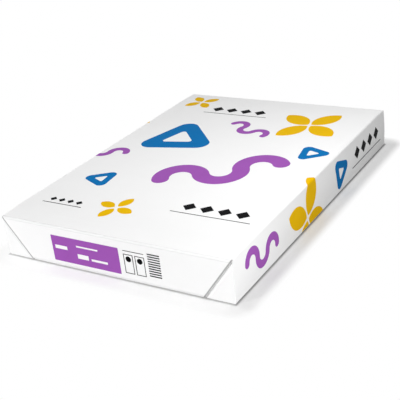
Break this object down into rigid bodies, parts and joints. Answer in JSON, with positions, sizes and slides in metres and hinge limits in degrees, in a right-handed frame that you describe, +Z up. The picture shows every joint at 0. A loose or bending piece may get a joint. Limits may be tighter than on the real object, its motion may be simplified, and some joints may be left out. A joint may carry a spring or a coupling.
{
  "type": "ream of paper",
  "caption": "Sealed pack of A3 copier paper: a flat stack in a printed white wrapper with folded, glued short ends and a label on one end.",
  "frame": {"origin": "centre of the underside of the pack, on the surface that it lies on", "axes": "+X across the short side, to the right as the label end is seen; +Y along the long side, away from the label end; +Z up, through the thickness"},
  "size_m": [0.2974, 0.4223, 0.0503],
  "materials": {
    "wrapper_paper": "smooth coated white paper, satin",
    "yellow_ink": "yellow ink on coated paper, satin",
    "purple_ink": "purple ink on coated paper, satin",
    "blue_ink": "blue ink on coated paper, satin",
    "black_ink": "black ink on coated paper, satin"
  },
  "bodies": {
    "root": {"sealed_ream": "wrapper_paper", "yellow_print": "yellow_ink", "purple_print": "purple_ink", "blue_print": "blue_ink", "black_print": "black_ink"}
  },
  "joints": []
}
